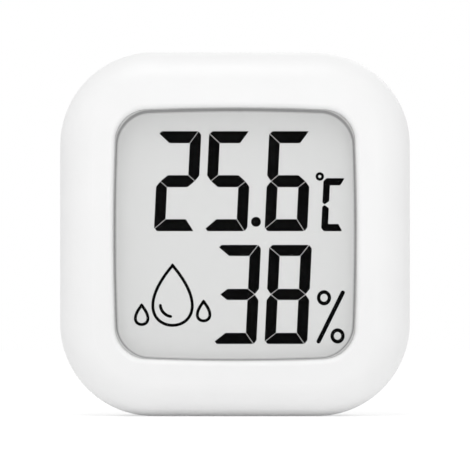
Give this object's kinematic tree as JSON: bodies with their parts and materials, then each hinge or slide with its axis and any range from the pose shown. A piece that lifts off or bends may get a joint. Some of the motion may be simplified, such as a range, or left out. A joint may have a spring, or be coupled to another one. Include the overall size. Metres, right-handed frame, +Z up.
{
  "type": "temperature humidity sensor",
  "caption": "Small square room thermometer and hygrometer with a rounded white case, a domed front, a liquid crystal display and a coin cell behind a bayonet cover.",
  "frame": {"origin": "middle of the case's bottom edge, on the surface that the case stands on", "axes": "+X to the right as seen from the front, +Y from the display to the back, +Z up"},
  "size_m": [0.043, 0.013, 0.0447],
  "materials": {
    "case_plastic": "smooth satin white",
    "button_plastic": "satin light grey",
    "clear_lens": "clear acrylic",
    "tape": "white double-sided tape",
    "polariser": "clear film",
    "display_glass": "clear glass",
    "reflector": "silver-grey reflecting film",
    "zebra_rubber": "silicone with carbon layers",
    "foam": "closed-cell foam",
    "board_laminate": "green solder mask",
    "screw_steel": "zinc-plated steel",
    "chip_resin": "black resin",
    "bright_steel": "nickel-plated steel",
    "capacitor_ceramic": "fired ceramic",
    "cell_steel": "brushed nickel-plated steel",
    "seal_plastic": "moulded seal",
    "switch_plastic": "black moulding"
  },
  "bodies": {
    "case": {"front_housing": "case_plastic", "rear_cover": "case_plastic", "window_lens": "clear_lens", "lens_tape": "tape", "front_polariser": "polariser", "front_glass": "display_glass", "rear_glass": "display_glass", "reflector_film": "reflector", "zebra_strip": "zebra_rubber", "foam_pad": "foam", "circuit_board": "board_laminate", "board_screws": "screw_steel", "controller_chip": "chip_resin", "humidity_sensor": "chip_resin", "clock_crystal": "bright_steel", "chip_capacitors": "capacitor_ceramic", "chip_resistors": "chip_resin", "negative_contact": "bright_steel", "positive_contact": "bright_steel", "cell_can": "cell_steel", "cell_gasket": "seal_plastic", "cell_cap": "cell_steel", "switch_base": "switch_plastic", "switch_dome": "bright_steel", "switch_plate": "bright_steel"},
    "battery_door": {"battery_cover": "case_plastic"},
    "button": {"unit_button": "button_plastic", "switch_plunger": "switch_plastic"}
  },
  "joints": [
    {"name": "battery_cover_turn", "type": "hinge", "parent": "case", "child": "battery_door", "pos_m": [0, 0.005, 0.02035], "axis": [0, 1, 0], "range_deg": [0, 45]},
    {"name": "unit_button_press", "type": "slide", "parent": "case", "child": "button", "axis": [0, -1, 0], "range_m": [0, 0.0003], "stiffness_N_per_m": 100}
  ]
}
